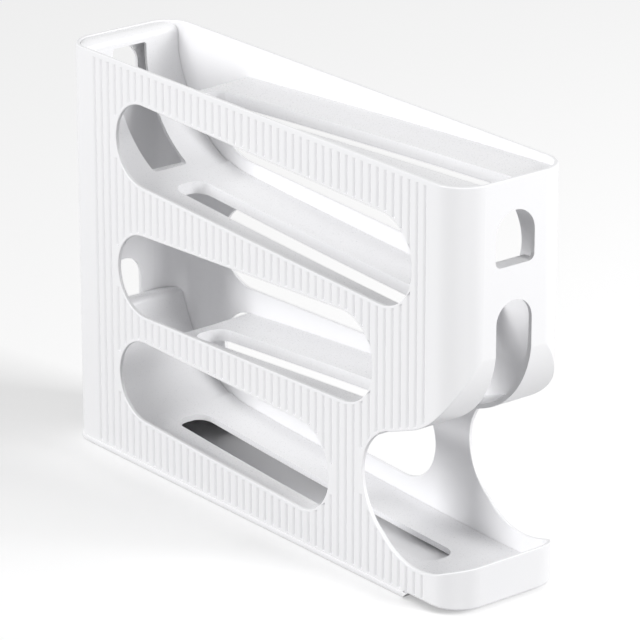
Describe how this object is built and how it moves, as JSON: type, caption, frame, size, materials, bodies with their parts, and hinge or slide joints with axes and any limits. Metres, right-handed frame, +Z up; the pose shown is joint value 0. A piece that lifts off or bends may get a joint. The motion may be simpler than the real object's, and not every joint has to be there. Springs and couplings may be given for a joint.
{
  "type": "rolling egg dispenser",
  "caption": "Narrow white housing with sloping tiers in it: a row of eggs laid in at the top rolls back and forth down the ramps to an open tray at the foot.",
  "frame": {"origin": "on the surface that the dispenser stands on, under the middle of its outer box", "axes": "+X towards the front tray, +Y across the narrow width, +Z up"},
  "size_m": [0.3606, 0.083, 0.25],
  "materials": {
    "housing": "satin moulded white",
    "base": "satin moulded white",
    "ramp": "satin moulded white",
    "guide": "satin moulded white"
  },
  "bodies": {
    "root": {"housing": "housing", "base_plate": "base", "first_ramp": "ramp", "upper_turn_guide": "guide", "second_ramp": "ramp", "third_ramp": "ramp", "lower_turn_guide": "guide", "fourth_ramp": "ramp"}
  },
  "joints": []
}
